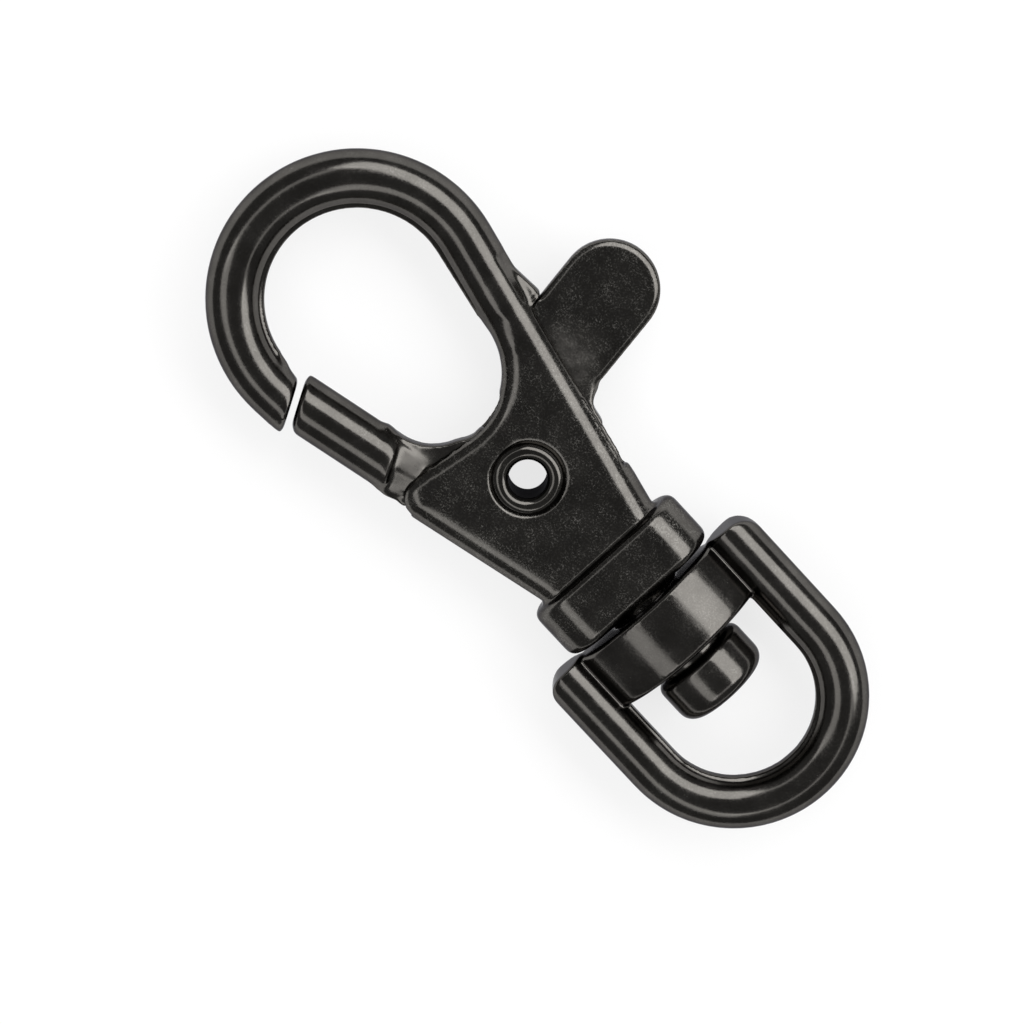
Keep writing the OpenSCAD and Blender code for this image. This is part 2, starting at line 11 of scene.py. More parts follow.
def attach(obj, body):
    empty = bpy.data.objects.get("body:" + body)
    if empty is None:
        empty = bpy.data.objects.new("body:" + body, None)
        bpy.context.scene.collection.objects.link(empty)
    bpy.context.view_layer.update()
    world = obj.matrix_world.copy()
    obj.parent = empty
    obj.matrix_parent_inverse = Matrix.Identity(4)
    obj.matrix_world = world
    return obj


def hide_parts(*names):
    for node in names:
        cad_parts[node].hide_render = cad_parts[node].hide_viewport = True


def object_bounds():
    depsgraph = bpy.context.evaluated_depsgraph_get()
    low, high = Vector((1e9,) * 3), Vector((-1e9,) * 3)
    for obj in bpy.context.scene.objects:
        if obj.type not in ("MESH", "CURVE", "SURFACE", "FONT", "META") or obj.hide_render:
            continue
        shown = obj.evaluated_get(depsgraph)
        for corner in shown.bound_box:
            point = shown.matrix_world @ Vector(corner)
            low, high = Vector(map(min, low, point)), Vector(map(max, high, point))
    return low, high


bl_info = {
    "name": "Swivel snap hook",
    "version": (1, 0, 0),
    "blender": (4, 5, 0),
    "location": "3D View > Sidebar > Snap Hook",
    "description": "Finishes, lamps and camera for a swivel snap hook",
    "category": "Object",
}

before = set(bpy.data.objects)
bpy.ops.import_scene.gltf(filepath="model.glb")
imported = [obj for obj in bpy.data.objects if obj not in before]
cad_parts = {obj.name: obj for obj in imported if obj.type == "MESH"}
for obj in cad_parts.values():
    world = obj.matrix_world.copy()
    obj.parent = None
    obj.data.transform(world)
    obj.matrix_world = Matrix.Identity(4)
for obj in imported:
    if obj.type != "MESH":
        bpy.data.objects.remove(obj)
CAD_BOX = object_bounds()
MM = 0.001

# Sides of the photograph in the object's own axes
TURN = math.radians(47.6)
RIGHT = Vector((math.cos(TURN), math.sin(TURN), 0.0))
AHEAD = Vector((-math.sin(TURN), math.cos(TURN), 0.0))

# Bearings that the spine's outer edge and the cheeks' lower edge face
SPINE_FACES = math.radians(77.7)
LOWER_FACES = math.radians(-75.7)
# Places in plan, in millimetres: middle of the throat's curve and start of the straight spine
THROAT = (-10.35, -0.45)
SPINE_START = (-15.5, 8.25)

# Where the castings are softened further: x, y and reach in plan in millimetres, then rounds
LAND_AND_NOSE_SOFT = (
    (-9.2, 4.9, 1.7, 47),
    (-17.3, -7.1, 1.1, 31),
    (-15.0, -9.2, 2.4, 8),
    (-13.9, -10.9, 1.3, 20),
)
SLOT_END_SOFT = (4.15, 5.9, 0.75, 16)
TAB_SHOULDER_SOFT = (-10.9, 9.0, 2.4, 16)
HEEL_AND_TONGUE_SOFT = (
    (-1.5, 7.6, 1.0, 30),
    (-9.3, -4.9, 0.9, 40),
    (-4.9, 0.0, 1.0, 20),
)
NECK_EDGE_SOFT = (-6.0, -4.4, 0.9, 8)

# Lines across the neck of the lever, each from the bar's shoulder to the cheeks' edge: x, y and
# half thickness in millimetres at both ends
NECK_TOP = ((-8.15, -5.15, 1.1), (-5.5, -4.3, 0.85))
NECK_RIDGE = ((-7.45, -6.75, 1.62), (-5.1, -5.95, 1.3))
NECK_FOOT = ((-6.75, -8.4, 1.05), (-4.9, -8.0, 0.85))

# Middle and radius, in millimetres, of what is left matt, and of the pale painted sheen on the
# lever where it is also rubbed rough
MATT_CHEEKS = ((2.5, 0.0, 0.0), 12.5)
MATT_TAB = ((-6.0, 11.0, 0.0), 9.0)
LEVER_SHEEN_AND_RUB = (((-4.3, 7.6, 0.8), 3.6), ((-6.2, -5.2, 1.0), 2.6))
BORE_RADIUS = 1.4 * MM

# Share of the pale specks that polishing leaves on the round faces
POLISHED = 0.35

# Lamps: name, bearing, lean off the vertical and angular width in degrees, length in millimetres,
# and the setting with its strength
LAMPS = (
    ("main_lamp", 90.0, 44.0, 36.0, 520.0, "main_strength"),
    ("fill_lamp", -90.0, 33.0, 20.0, 420.0, "fill_strength"),
    ("left_lamp", 180.0, 40.0, 8.0, 260.0, "end_strength"),
    ("right_lamp", 0.0, 40.0, 8.0, 260.0, "end_strength"),
)
LAMP_REACH = 250.0 * MM
# Width of the camera's sensor in millimetres
SENSOR = 36.0
FLOOR_WIDTH = 6.0
FLOOR_GAP = 0.02 * MM
PLAIN = (1.0, 1.0, 1.0, 1.0)


class PlatingSettings(bpy.types.PropertyGroup):
    """Colours and sizes of the metal finishes."""

    gunmetal: FloatVectorProperty(
        name="Gunmetal",
        description="Colour of the dark plating on the castings",
        default=(0.1, 0.095, 0.088),
        size=3,
        min=0.0,
        max=1.0,
        subtype="COLOR",
    )
    worn: FloatVectorProperty(
        name="Worn plating",
        description="Colour of the plating where it is rubbed",
        default=(0.24, 0.233, 0.217),
        size=3,
        min=0.0,
        max=1.0,
        subtype="COLOR",
    )
    wire: FloatVectorProperty(
        name="Spring wire",
        description="Colour of the spring wire",
        default=(0.42, 0.41, 0.39),
        size=3,
        min=0.0,
        max=1.0,
        subtype="COLOR",
    )
    grain: FloatProperty(
        name="Grain size",
        description="Size of the cast grain under the plating",
        default=0.16 * MM,
        min=0.05 * MM,
        max=1.0 * MM,
        unit="LENGTH",
    )
    grain_depth: FloatProperty(
        name="Grain depth",
        description="Depth of the cast grain",
        default=0.0035 * MM,
        min=0.0,
        max=0.05 * MM,
        unit="LENGTH",
    )
    cell: FloatProperty(
        name="Cell size",
        description="Size of the cells that the castings' surfaces are drawn with",
        default=0.13 * MM,
        min=0.1 * MM,
        max=0.5 * MM,
        unit="LENGTH",
    )
    body_cell: FloatProperty(
        name="Body cell size",
        description="Size of the cells that the hook body's surface is drawn with",
        default=0.147 * MM,
        min=0.1 * MM,
        max=0.5 * MM,
        unit="LENGTH",
    )
    gloss: FloatProperty(
        name="Roughness",
        description="Mean roughness of the plating",
        default=0.155,
        min=0.0,
        max=1.0,
        subtype="FACTOR",
    )


class StageSettings(bpy.types.PropertyGroup):
    """Camera, lamps and floor."""

    focal: FloatProperty(
        name="Focal length",
        description="Focal length of the camera in millimetres",
        default=150.0,
        min=50.0,
        max=300.0,
    )
    view_width: FloatProperty(
        name="View width",
        description="Width that the camera sees at the object",
        default=73.4 * MM,
        min=10.0 * MM,
        max=500.0 * MM,
        unit="LENGTH",
    )
    tilt: FloatProperty(
        name="Camera tilt",
        description="Angle of the view off the vertical",
        default=math.radians(11.0),
        min=0.0,
        max=math.radians(80.0),
        subtype="ANGLE",
    )
    main_strength: FloatProperty(
        name="Main lamp",
        description="Radiance of the bright soft lamp",
        default=2.9,
        min=0.0,
        max=20.0,
    )
    fill_strength: FloatProperty(
        name="Fill lamp",
        description="Radiance of the dim soft lamp",
        default=1.3,
        min=0.0,
        max=20.0,
    )
    end_strength: FloatProperty(
        name="End lamps",
        description="Radiance of the narrow lamps past both ends",
        default=1.0,
        min=0.0,
        max=20.0,
    )
    overhead: FloatProperty(
        name="Overhead",
        description="Strength of the dark studio above, as the metal shows it",
        default=0.13,
        min=0.0,
        max=5.0,
    )
    ambient: FloatProperty(
        name="Ambient",
        description="Strength of the plain light from all round",
        default=0.62,
        min=0.0,
        max=5.0,
    )
    shadow: FloatProperty(
        name="Shadow",
        description="Share of the object's shadow that the backdrop keeps",
        default=0.24,
        min=0.0,
        max=1.0,
        subtype="FACTOR",
    )
    floor: FloatVectorProperty(
        name="Floor",
        description="Colour of the floor",
        default=(0.93, 0.93, 0.93),
        size=3,
        min=0.0,
        max=1.0,
        subtype="COLOR",
    )


# Mesh and node helpers


def object_mode():
    """Leaves edit mode and deselects everything."""
    if bpy.context.object and bpy.context.object.mode != "OBJECT":
        bpy.ops.object.mode_set(mode="OBJECT")
    bpy.ops.object.select_all(action="DESELECT")


def pick(thing):
    """Makes one object the selected and active one."""
    object_mode()
    thing.select_set(True)
    bpy.context.view_layer.objects.active = thing


def new_material(name):
    """A material with an empty node tree and its output."""
    made = bpy.data.materials.new(name)
    made.use_nodes = True
    tree = made.node_tree
    tree.nodes.clear()
    out = tree.nodes.new("ShaderNodeOutputMaterial")
    out.location = (900, 0)
    return made, tree, out


def node(tree, kind, place, **values):
    """Adds a node and sets its own values."""
    made = tree.nodes.new(kind)
    made.location = place
    for key, value in values.items():
        setattr(made, key, value)
    return made


def noise(tree, coords, place, scale, detail=3.0, rough=0.55):
    """A noise texture on the object's own coordinates."""
    made = node(tree, "ShaderNodeTexNoise", place)
    made.inputs["Scale"].default_value = scale
    made.inputs["Detail"].default_value = detail
    made.inputs["Roughness"].default_value = rough
    tree.links.new(coords.outputs["Object"], made.inputs["Vector"])
    return made


def span(tree, source, place, low, high, to_low, to_high):
    """Maps a value from one range to another."""
    made = node(tree, "ShaderNodeMapRange", place)
    made.inputs["From Min"].default_value = low
    made.inputs["From Max"].default_value = high
    made.inputs["To Min"].default_value = to_low
    made.inputs["To Max"].default_value = to_high
    tree.links.new(source, made.inputs["Value"])
    return made


def times(tree, one, other, place):
    """The product of two values, the second a constant or another node's output."""
    made = node(tree, "ShaderNodeMath", place, operation="MULTIPLY")
    tree.links.new(one, made.inputs[0])
    if isinstance(other, float):
        made.inputs[1].default_value = other
    else:
        tree.links.new(other, made.inputs[1])
    return made.outputs["Value"]


def adds_share(tree, share, amount, value, place):
    """A value with a share of an amount added."""
    made = node(tree, "ShaderNodeMath", place, operation="MULTIPLY_ADD")
    made.inputs[1].default_value = amount
    tree.links.new(share, made.inputs[0])
    tree.links.new(value, made.inputs[2])
    return made.outputs["Value"]


def blend_colour(tree, share, one, other, place):
    """A mix of two colours, each a constant or another node's output."""
    made = node(tree, "ShaderNodeMix", place, data_type="RGBA")
    tree.links.new(share, made.inputs["Factor"])
    for socket, value in (("A", one), ("B", other)):
        if isinstance(value, tuple):
            made.inputs[socket].default_value = value
        else:
            tree.links.new(value, made.inputs[socket])
    return made.outputs["Result"]


def tint(tree, colour, value, place):
    """A colour multiplied by a value."""
    made = node(tree, "ShaderNodeMix", place, data_type="RGBA", blend_type="MULTIPLY")
    made.inputs["Factor"].default_value = 1.0
    if isinstance(colour, tuple):
        made.inputs["A"].default_value = colour
    else:
        tree.links.new(colour, made.inputs["A"])
    tree.links.new(value, made.inputs["B"])
    return made.outputs["Result"]


def distance_to(tree, coords, middle, place):
    """How far a place on the object is from a point given in millimetres."""
    made = node(tree, "ShaderNodeVectorMath", place, operation="DISTANCE")
    tree.links.new(coords.outputs["Object"], made.inputs[0])
    made.inputs[1].default_value = Vector(middle) * MM
    return made.outputs["Value"]


def speck_share(tree, coords, crowd, grain, matt):
    """Pale specks where the grain's tips are rubbed: all on matt faces, few on polished ones."""
    specks = noise(tree, coords, (-1150, -200), 1.0 / (grain * 0.8), 2.0, 0.5)
    tips = span(tree, specks.outputs["Fac"], (-900, -200), 0.46, 0.75, 0.0, 1.0)
    share = times(tree, tips.outputs["Result"], crowd.outputs["Result"], (-650, -300))
    if matt is None:
        return times(tree, share, POLISHED, (-500, -300))
    middle, reach = matt
    away = distance_to(tree, coords, middle, (-1150, -1250))
    flat = span(tree, away, (-900, -1250), reach * MM * 0.8, reach * MM, 1.0, POLISHED)
    return times(tree, share, flat.outputs["Result"], (-500, -300))


def sheen_and_rub_share(tree, coords, patches, sheen_and_rubbed):
    """How far a place takes the pale painted sheen and the roughness of rubbing by hands or by
    other metal.
    """
    sheen_and_wear = None
    for count, (middle, reach) in enumerate(sheen_and_rubbed):
        height = -700 - 250 * count
        far = distance_to(tree, coords, middle, (-1150, height))
        sheen_and_rub_spot = span(tree, far, (-900, height), reach * MM * 0.35, reach * MM, 1.0, 0.0)
        if sheen_and_wear is None:
            sheen_and_wear = sheen_and_rub_spot.outputs["Result"]
            continue
        more = node(tree, "ShaderNodeMath", (-650, height), operation="MAXIMUM")
        tree.links.new(sheen_and_wear, more.inputs[0])
        tree.links.new(sheen_and_rub_spot.outputs["Result"], more.inputs[1])
        sheen_and_wear = more.outputs["Value"]
    uneven = span(tree, patches.outputs["Fac"], (-650, -500), 0.3, 0.7, 0.55, 1.0)
    return times(tree, sheen_and_wear, uneven.outputs["Result"], (-350, -500))


def painted_bore_shade(tree, coords, bore, shown, rough):
    """Colour and roughness with a bore along Z left unpolished, and its colour darkened there as
    painted shade.
    """
    plan = node(tree, "ShaderNodeVectorMath", (-600, 700), operation="MULTIPLY")
    tree.links.new(coords.outputs["Object"], plan.inputs[0])
    plan.inputs[1].default_value = (1.0, 1.0, 0.0)
    out_by = node(tree, "ShaderNodeVectorMath", (-350, 700), operation="LENGTH")
    tree.links.new(plan.outputs["Vector"], out_by.inputs[0])
    far = out_by.outputs["Value"]
    inside = bore * 1.02
    outside = bore * 1.1
    # Painted shade: the colour is darkened inside the bore
    bore_shade = span(tree, far, (-100, 700), inside, outside, 0.12, 1.0)
    dull = span(tree, far, (-100, 950), inside, outside, 0.5, 0.0)
    rougher = node(tree, "ShaderNodeMath", (350, -50), operation="ADD")
    tree.links.new(rough, rougher.inputs[0])
    tree.links.new(dull.outputs["Result"], rougher.inputs[1])
    return tint(tree, shown, bore_shade.outputs["Result"], (350, 300)), rougher.outputs["Value"]


def plated_metal(name, base, worn, grain, depth, gloss, sheen_and_rubbed=(), bore=0.0, matt=None):
    """Dark plating: grain, pale specks, cloudy gloss, dark edges, rubbed places with a pale painted
    sheen, and a dull bore with painted shade.
    """
    made, tree, out = new_material(name)
    links = tree.links
    coords = node(tree, "ShaderNodeTexCoord", (-1400, 0))
    fine = noise(tree, coords, (-1150, 400), 1.0 / grain, 4.0, 0.6)
    cloud = noise(tree, coords, (-1150, 100), 1.0 / (grain * 14.0), 3.0)
    patches = noise(tree, coords, (-1150, -450), 1.0 / (grain * 6.0), 2.0, 0.5)
    crowd = span(tree, patches.outputs["Fac"], (-900, -450), 0.35, 0.7, 0.25, 1.0)
    share = speck_share(tree, coords, crowd, grain, matt)

    paint = blend_colour(tree, share, (*base, 1.0), (*worn, 1.0), (-350, 100))
    rough_fine = span(tree, fine.outputs["Fac"], (-900, 400), 0.3, 0.75, gloss * 0.8, gloss * 1.25)
    rough_cloud = span(tree, cloud.outputs["Fac"], (-900, 100), 0.3, 0.7, 0.85, 1.25)
    rough = times(tree, rough_fine.outputs["Result"], rough_cloud.outputs["Result"], (-600, 250))
    rough = adds_share(tree, share, 0.3, rough, (-350, -150))
    # Rubbed places: the paler colour is painted sheen, the added roughness is rubbing
    if sheen_and_rubbed:
        sheen_and_wear = sheen_and_rub_share(tree, coords, patches, sheen_and_rubbed)
        sheen_pale = tuple(min(1.0, 1.5 * part) for part in base)
        paint = blend_colour(tree, sheen_and_wear, paint, (*sheen_pale, 1.0), (-100, 100))
        rough = adds_share(tree, sheen_and_wear, 0.2, rough, (-100, -150))
    tone = span(tree, cloud.outputs["Fac"], (-350, 400), 0.3, 0.7, 0.85, 1.15)
    shown = tint(tree, paint, tone.outputs["Result"], (150, 150))
    # The bore gets painted shade in its colour, and rougher metal
    if bore:
        shown, rough = painted_bore_shade(tree, coords, bore, shown, rough)

    bump = node(tree, "ShaderNodeBump", (250, -250))
    bump.inputs["Strength"].default_value = 0.7
    bump.inputs["Distance"].default_value = depth
    links.new(fine.outputs["Fac"], bump.inputs["Height"])

    metal = node(tree, "ShaderNodeBsdfPrincipled", (550, 0))
    metal.inputs["Metallic"].default_value = 1.0
    # Dark plating stays dark where the surface turns away
    metal.inputs["Specular Tint"].default_value = (0.4, 0.4, 0.42, 1.0)
    links.new(shown, metal.inputs["Base Color"])
    links.new(rough, metal.inputs["Roughness"])
    links.new(bump.outputs["Normal"], metal.inputs["Normal"])
    links.new(metal.outputs["BSDF"], out.inputs["Surface"])
    return made


def select_where(thing, where):
    """Selects the vertices that a test on their places in millimetres picks, in edit mode."""
    pick(thing)
    verts = thing.data.vertices
    places = numpy.empty(3 * len(verts))
    verts.foreach_get("co", places)
    x, y, z = (places / MM).reshape(-1, 3).T
    bpy.ops.object.mode_set(mode="EDIT")
    bpy.ops.mesh.select_mode(type="VERT")
    bpy.ops.mesh.select_all(action="DESELECT")
    bpy.ops.object.mode_set(mode="OBJECT")
    verts.foreach_set("select", where(x, y, z))
    bpy.ops.object.mode_set(mode="EDIT")


def soften(thing, where, rounds):
    """Smooths a casting further where a test says so."""
    select_where(thing, where)
    bpy.ops.mesh.vertices_smooth(factor=0.5, repeat=rounds)
    bpy.ops.object.mode_set(mode="OBJECT")


def soften_near(thing, at_x, at_y, reach, rounds):
    """Smooths a casting further within reach of a point in plan."""
    soften(thing, near(at_x, at_y, reach), rounds)


def pull(thing, where, step, reach):
    """Moves what a test picks by a step in millimetres, and what is within reach of it less."""
    select_where(thing, where)
    bpy.ops.transform.translate(
        value=Vector(step) * MM,
        use_proportional_edit=True,
        proportional_edit_falloff="SMOOTH",
        proportional_size=reach * MM,
    )
    bpy.ops.object.mode_set(mode="OBJECT")


def near(at_x, at_y, reach):
    """A test for places within reach of a point in plan."""
    return lambda x, y, z: numpy.hypot(x - at_x, y - at_y) < reach


def coat(thing, material):
    """Gives a piece one finish all over."""
    thing.data.materials.clear()
    thing.data.materials.append(material)


def cast_values(cast):
    """The finish of the castings, as the settings have it."""
    return cast.gunmetal[:], cast.worn[:], cast.grain, cast.grain_depth, cast.gloss


def cast_skin(name, node_name, body, cell, rounds, joined=()):
    """A soft-edged casting of a CAD node and what is joined to it, which stands for the node."""
    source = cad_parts[node_name]
    object_mode()
    skin = source.copy()
    skin.data = source.data.copy()
    skin.name = name
    bpy.context.scene.collection.objects.link(skin)
    pick(skin)
    bpy.ops.object.mode_set(mode="EDIT")
    bpy.ops.mesh.select_all(action="SELECT")
    bpy.ops.mesh.remove_doubles(threshold=0.001 * MM)
    bpy.ops.object.mode_set(mode="OBJECT")
    if joined:
        for thing in joined:
            thing.select_set(True)
        bpy.ops.object.join()
    cells = skin.modifiers.new("cells", "REMESH")
    cells.mode = "VOXEL"
    cells.voxel_size = cell
    cells.use_smooth_shade = True
    bpy.ops.object.modifier_apply(modifier=cells.name)
    soft = skin.modifiers.new("soft_edges", "SMOOTH")
    soft.factor = 0.5
    soft.iterations = rounds
    bpy.ops.object.modifier_apply(modifier=soft.name)
    bpy.ops.object.shade_smooth()
    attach(skin, body)
    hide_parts(node_name)
    return skin


def dress(name, material, degrees):
    """Gives a CAD node its finish, and smooth shading except at edges sharper than the angle."""
    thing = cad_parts[name]
    materials = thing.data.materials
    if not materials:
        materials.append(material)
    for place in range(len(materials)):
        materials[place] = material
    pick(thing)
    bpy.ops.object.shade_smooth_by_angle(angle=math.radians(degrees))


def along_lower_edge(x, y, z):
    """Picks the outer faces of the cheeks within 2.4 mm of their lower edge."""
    inside = 7.05 - (x * math.cos(LOWER_FACES) + y * math.sin(LOWER_FACES))
    return (abs(z) > 1.0) & (inside < 2.4) & (x > -3.5) & (x < 7.2)


def round_throat(x, y, z):
    """Picks the outer faces of the cheeks within 2.6 mm of the throat's edge."""
    across = x - THROAT[0]
    up = y - THROAT[1]
    turn = numpy.degrees(numpy.arctan2(up, across))
    return (abs(z) > 1.0) & (numpy.hypot(across, up) < 8.0) & (turn > -40.0) & (turn < 62.0)


def tab_shoulder(x, y, z):
    """Picks what stands out of the spine where the thumb tab closes."""
    along = x - SPINE_START[0]
    out = y - SPINE_START[1]
    above = along * math.cos(SPINE_FACES) + out * math.sin(SPINE_FACES)
    return (above > 1.45) & (x > -13.2) & (x < -9.2)


def slot_lips(x, y, z):
    """Picks the outer edges of the slot in the spine, between the tab's heel and the slot's end."""
    above = x * math.cos(SPINE_FACES) + y * math.sin(SPINE_FACES)
    return (above > 5.9) & (x > -1.5) & (x < 3.75) & (abs(z) < 1.2)


def bar_shoulder(x, y, z):
    """Picks the groove where the gate's bar ends and the neck begins."""
    past = 0.877 * x + 0.481 * y + 9.47
    return (abs(past) < 0.5) & (abs(z) > 0.7) & (y < -5.0)


def at_corner(corner):
    """A test for one corner of a cube whose others are 2 mm off."""
    at_x, at_y, at_z = corner
    return lambda x, y, z: (abs(x - at_x) < 0.1) & (abs(y - at_y) < 0.1) & (abs(z - at_z) < 0.1)


def neck_block(name, upper, lower):
    """A block between two lines across the neck, the same on both faces."""
    object_mode()
    bpy.ops.mesh.primitive_cube_add(size=2.0 * MM, location=(0, 0, 0))
    block = bpy.context.object
    block.name = name
    for row, line in ((1, upper), (-1, lower)):
        for side, (x, y, half) in zip((-1, 1), line):
            for level in (-1, 1):
                corner = (side, row, level)
                select_where(block, at_corner(corner))
                step = Vector((x, y, level * half)) - Vector(corner)
                bpy.ops.transform.translate(value=step * MM)
    bpy.ops.object.mode_set(mode="OBJECT")
    return block


class SNAPHOOK_OT_body(bpy.types.Operator):
    """Casts the hook body with soft edges and its dark plating"""

    bl_idname = "snaphook.body"
    bl_label = "Cast hook body"

    def execute(self, context):
        cast = context.scene.snaphook_plating
        skin = cast_skin("body_casting", "hook_body", "body", cast.body_cell, 9)
        # Ends of the inner land, the nose and its lower corner
        for spot in LAND_AND_NOSE_SOFT:
            soften_near(skin, *spot)
        # Lips of the slot in the spine, drawn out to the spine's edge, and the slot's end
        soften(skin, slot_lips, 16)
        pull(skin, slot_lips, (0.03, 0.13, 0.0), 0.3)
        soften(skin, slot_lips, 6)
        soften_near(skin, *SLOT_END_SOFT)
        # Shoulder that the tab closes against, thinner than the spine
        select_where(skin, tab_shoulder)
        bpy.ops.transform.resize(value=(1.0, 1.0, 0.6), center_override=(0.0, 0.0, 0.0))
        soften_near(skin, *TAB_SHOULDER_SOFT)
        # Pillowed edges of the cheeks, below and round the throat
        soften(skin, along_lower_edge, 55)
        soften(skin, round_throat, 31)
        coat(skin, plated_metal("body_plating", *cast_values(cast), matt=MATT_CHEEKS))
        return {"FINISHED"}


class SNAPHOOK_OT_lever(bpy.types.Operator):
    """Casts the gate lever with its bar, neck and thumb tab"""

    bl_idname = "snaphook.lever"
    bl_label = "Cast gate lever"

    def execute(self, context):
        cast = context.scene.snaphook_plating
        neck = (
            neck_block("neck_top", NECK_TOP, NECK_RIDGE),
            neck_block("neck_foot", NECK_RIDGE, NECK_FOOT),
        )
        skin = cast_skin("lever_casting", "gate_lever", "lever", cast.cell, 11, neck)
        # The tab's heel, and both ends of the tongue's curve
        for spot in HEEL_AND_TONGUE_SOFT:
            soften_near(skin, *spot)
        # The tongue's tip drawn into the throat's wall, and the corner under the neck drawn up
        pull(skin, near(-4.95, -0.2, 0.6), (0.35, -0.05, 0.0), 1.6)
        pull(skin, near(-4.5, -8.3, 0.4), (-0.05, 0.28, 0.0), 1.2)
        soften_near(skin, *NECK_EDGE_SOFT)
        soften(skin, bar_shoulder, 12)
        # Pale painted sheen at the tab's base and on the neck, where they are also rubbed rough
        finish = plated_metal("lever_plating", *cast_values(cast), LEVER_SHEEN_AND_RUB, matt=MATT_TAB)
        coat(skin, finish)
        return {"FINISHED"}


class SNAPHOOK_OT_eye(bpy.types.Operator):
    """Casts the swivel eye with its barrel and bow"""

    bl_idname = "snaphook.eye"
    bl_label = "Cast swivel eye"

    def execute(self, context):
        cast = context.scene.snaphook_plating
        skin = cast_skin("eye_casting", "swivel_eye", "eye", cast.cell, 11)
        coat(skin, plated_metal("eye_plating", *cast_values(cast)))
        return {"FINISHED"}


class SNAPHOOK_OT_small_parts(bpy.types.Operator):
    """Finishes the hollow rivet and the spring wire"""

    bl_idname = "snaphook.small_parts"
    bl_label = "Finish rivet and spring"

    def execute(self, context):
        cast = context.scene.snaphook_plating
        # The rivet's bore is darkened with painted shade
        rivet = plated_metal(
            "rivet_plating",
            cast.gunmetal[:],
            cast.worn[:],
            cast.grain,
            cast.grain_depth * 0.3,
            cast.gloss * 0.8,
            bore=BORE_RADIUS,
        )
        dress("pivot_rivet", rivet, 40)
        wire = plated_metal(
            "spring_finish",
            cast.wire[:],
            cast.worn[:],
            cast.grain * 0.3,
            cast.grain_depth * 0.2,
            0.25,
        )
        dress("gate_spring", wire, 50)
        return {"FINISHED"}


def lamp(name, turn, lean, wide, length, radiance):
    """A soft lamp that faces the object, by bearing, lean off the vertical and angular width."""
    bearing = Vector((math.cos(math.radians(turn)), math.sin(math.radians(turn)), 0.0))
    along = Vector((-bearing.y, bearing.x, 0.0))
    tilt = math.radians(lean)
    place = LAMP_REACH * (bearing * math.sin(tilt) + Vector((0, 0, 1)) * math.cos(tilt))
    width = 2.0 * LAMP_REACH * math.tan(math.radians(wide / 2.0))
    light = bpy.data.lights.new(name, "AREA")
    light.shape = "RECTANGLE"
    light.size = length
    light.size_y = width
    # An area lamp's radiance is its power over pi times its area
    light.energy = radiance * math.pi * width * length
    thing = bpy.data.objects.new(name, light)
    bpy.context.scene.collection.objects.link(thing)
    back = place.normalized()
    side = (along - back * along.dot(back)).normalized()
    turned = Matrix((side, back.cross(side), back)).transposed().to_4x4()
    turned.translation = place
    thing.matrix_world = turned
    thing.visible_camera = False


class SNAPHOOK_OT_camera(bpy.types.Operator):
    """Sets up the camera at the photograph's viewing angle"""

    bl_idname = "snaphook.camera"
    bl_label = "Set up camera"

    def execute(self, context):
        stage = context.scene.snaphook_stage
        centre = Vector((1.27 * MM, -2.68 * MM, 0.0))
        back = AHEAD * math.sin(stage.tilt) + Vector((0, 0, 1)) * math.cos(stage.tilt)
        up = back.cross(RIGHT)
        camera = bpy.data.objects.new("camera", bpy.data.cameras.new("camera"))
        context.scene.collection.objects.link(camera)
        camera.data.lens = stage.focal
        camera.data.sensor_width = SENSOR
        camera.data.sensor_fit = "HORIZONTAL"
        distance = stage.view_width * stage.focal / SENSOR
        turned = Matrix((RIGHT, up, back)).transposed().to_4x4()
        turned.translation = centre + back * distance
        camera.matrix_world = turned
        camera.data.clip_start = 1.0 * MM
        camera.data.clip_end = 10.0
        context.scene.camera = camera
        return {"FINISHED"}


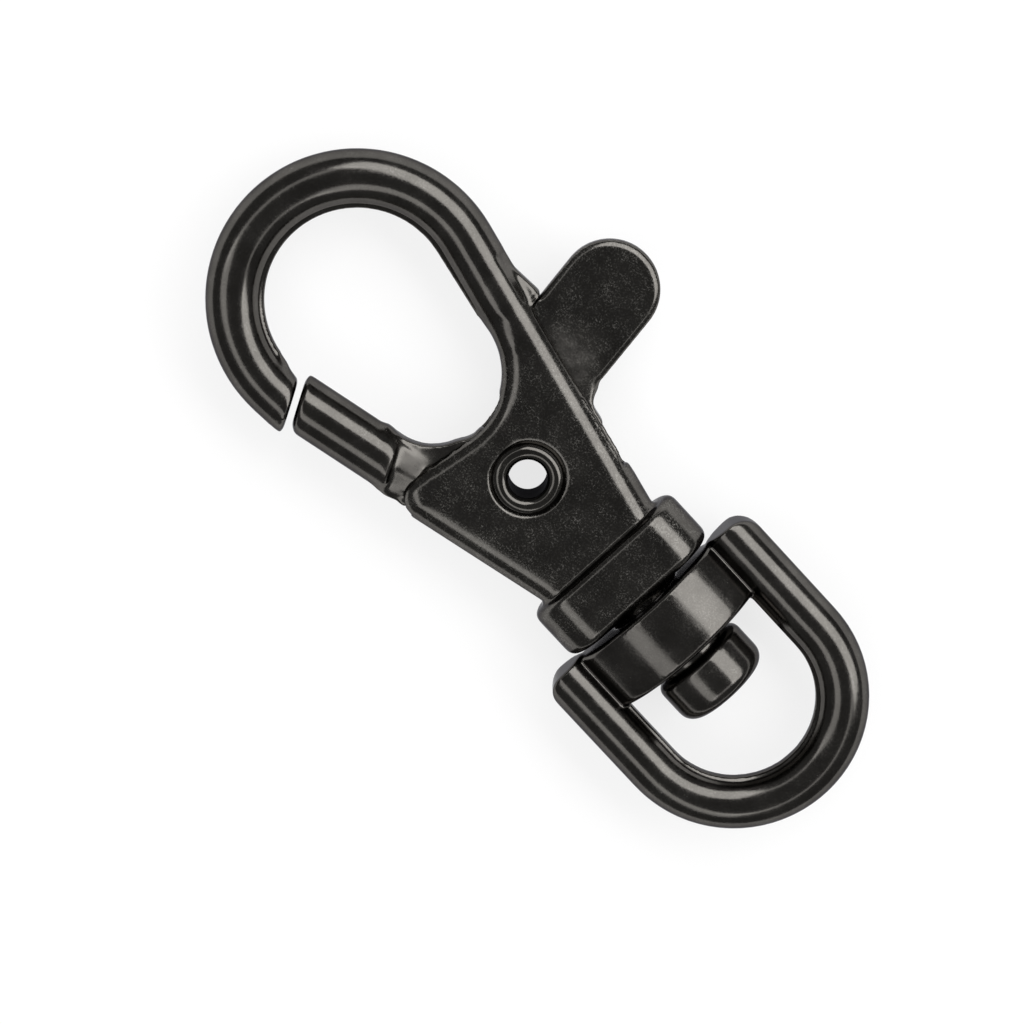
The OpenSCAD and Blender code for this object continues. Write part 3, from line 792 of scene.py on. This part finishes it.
class SNAPHOOK_OT_stage(bpy.types.Operator):
    """Adds the floor, the lamps and the studio round the object"""

    bl_idname = "snaphook.stage"
    bl_label = "Set up stage"

    def execute(self, context):
        stage = context.scene.snaphook_stage
        low = CAD_BOX[0]
        self.add_floor(stage, low.z)
        for name, turn, lean, wide, length, strength in LAMPS:
            lamp(name, turn, lean, wide, length * MM, getattr(stage, strength))
        self.add_world(stage)
        context.scene.view_settings.view_transform = "Standard"
        return {"FINISHED"}

    def add_floor(self, stage, height):
        """A wide pale floor just under the object."""
        object_mode()
        bpy.ops.mesh.primitive_plane_add(size=FLOOR_WIDTH, location=(0, 0, height - FLOOR_GAP))
        floor = bpy.context.object
        floor.name = "floor"
        made, tree, out = new_material("floor_paint")
        coords = node(tree, "ShaderNodeTexCoord", (-800, 0))
        mottle = noise(tree, coords, (-600, 0), 40.0, 3.0)
        tone = span(tree, mottle.outputs["Fac"], (-350, 0), 0.3, 0.7, 0.99, 1.0)
        colour = tint(tree, (*stage.floor[:], 1.0), tone.outputs["Result"], (-100, 0))
        paint = node(tree, "ShaderNodeBsdfDiffuse", (200, 0))
        tree.links.new(colour, paint.inputs["Color"])
        glow = node(tree, "ShaderNodeEmission", (200, -150))
        tree.links.new(tone.outputs["Result"], glow.inputs["Color"])
        # The white backdrop, as the eye, the metal and a pane would show it
        path = node(tree, "ShaderNodeLightPath", (-350, 400))
        seen = node(tree, "ShaderNodeMath", (-100, 400), operation="MAXIMUM")
        tree.links.new(path.outputs["Is Camera Ray"], seen.inputs[0])
        tree.links.new(path.outputs["Is Glossy Ray"], seen.inputs[1])
        either = node(tree, "ShaderNodeMath", (50, 400), operation="MAXIMUM")
        tree.links.new(seen.outputs["Value"], either.inputs[0])
        tree.links.new(path.outputs["Is Transmission Ray"], either.inputs[1])
        share = times(tree, either.outputs["Value"], 1.0 - stage.shadow, (200, 400))
        both = node(tree, "ShaderNodeMixShader", (500, 0))
        tree.links.new(share, both.inputs["Fac"])
        tree.links.new(paint.outputs["BSDF"], both.inputs[1])
        tree.links.new(glow.outputs["Emission"], both.inputs[2])
        tree.links.new(both.outputs["Shader"], out.inputs["Surface"])
        floor.data.materials.append(made)

    def add_world(self, stage):
        """Plain light, a dark studio where polished metal looks up, and white behind the object."""
        world = bpy.data.worlds.new("studio")
        bpy.context.scene.world = world
        world.use_nodes = True
        tree = world.node_tree
        tree.nodes.clear()
        out = node(tree, "ShaderNodeOutputWorld", (600, 0))
        path = node(tree, "ShaderNodeLightPath", (-300, 200))
        plain = node(tree, "ShaderNodeBackground", (0, 100))
        plain.inputs["Strength"].default_value = stage.ambient
        dark = node(tree, "ShaderNodeBackground", (0, -100))
        dark.inputs["Strength"].default_value = stage.overhead
        white = node(tree, "ShaderNodeBackground", (0, -300))
        white.inputs["Strength"].default_value = 1.0
        for shade in (plain, dark, white):
            shade.inputs["Color"].default_value = PLAIN
        mixed = node(tree, "ShaderNodeMixShader", (250, 0))
        tree.links.new(path.outputs["Is Glossy Ray"], mixed.inputs["Fac"])
        tree.links.new(plain.outputs["Background"], mixed.inputs[1])
        tree.links.new(dark.outputs["Background"], mixed.inputs[2])
        backed = node(tree, "ShaderNodeMixShader", (420, 0))
        tree.links.new(path.outputs["Is Camera Ray"], backed.inputs["Fac"])
        tree.links.new(mixed.outputs["Shader"], backed.inputs[1])
        tree.links.new(white.outputs["Background"], backed.inputs[2])
        tree.links.new(backed.outputs["Shader"], out.inputs["Surface"])


class SNAPHOOK_PT_panel(bpy.types.Panel):
    """Settings and steps of the snap hook"""

    bl_idname = "SNAPHOOK_PT_panel"
    bl_label = "Snap Hook"
    bl_space_type = "VIEW_3D"
    bl_region_type = "UI"
    bl_category = "Snap Hook"

    def draw(self, context):
        for settings in (context.scene.snaphook_plating, context.scene.snaphook_stage):
            for key in settings.__annotations__:
                self.layout.prop(settings, key)
        for step in STEPS:
            self.layout.operator(step.bl_idname)


STEPS = (
    SNAPHOOK_OT_camera,
    SNAPHOOK_OT_body,
    SNAPHOOK_OT_lever,
    SNAPHOOK_OT_eye,
    SNAPHOOK_OT_small_parts,
    SNAPHOOK_OT_stage,
)
CLASSES = (PlatingSettings, StageSettings, *STEPS, SNAPHOOK_PT_panel)


def register():
    """Adds the classes and the settings."""
    for one in CLASSES:
        bpy.utils.register_class(one)
    bpy.types.Scene.snaphook_plating = PointerProperty(type=PlatingSettings)
    bpy.types.Scene.snaphook_stage = PointerProperty(type=StageSettings)


def unregister():
    """Removes the settings and the classes."""
    del bpy.types.Scene.snaphook_stage
    del bpy.types.Scene.snaphook_plating
    for one in reversed(CLASSES):
        bpy.utils.unregister_class(one)


def main():
    """Runs the steps in order."""
    register()
    bpy.ops.snaphook.camera()
    bpy.ops.snaphook.body()
    bpy.ops.snaphook.lever()
    bpy.ops.snaphook.eye()
    bpy.ops.snaphook.small_parts()
    bpy.ops.snaphook.stage()
    object_mode()


if __name__ == "__main__":
    main()
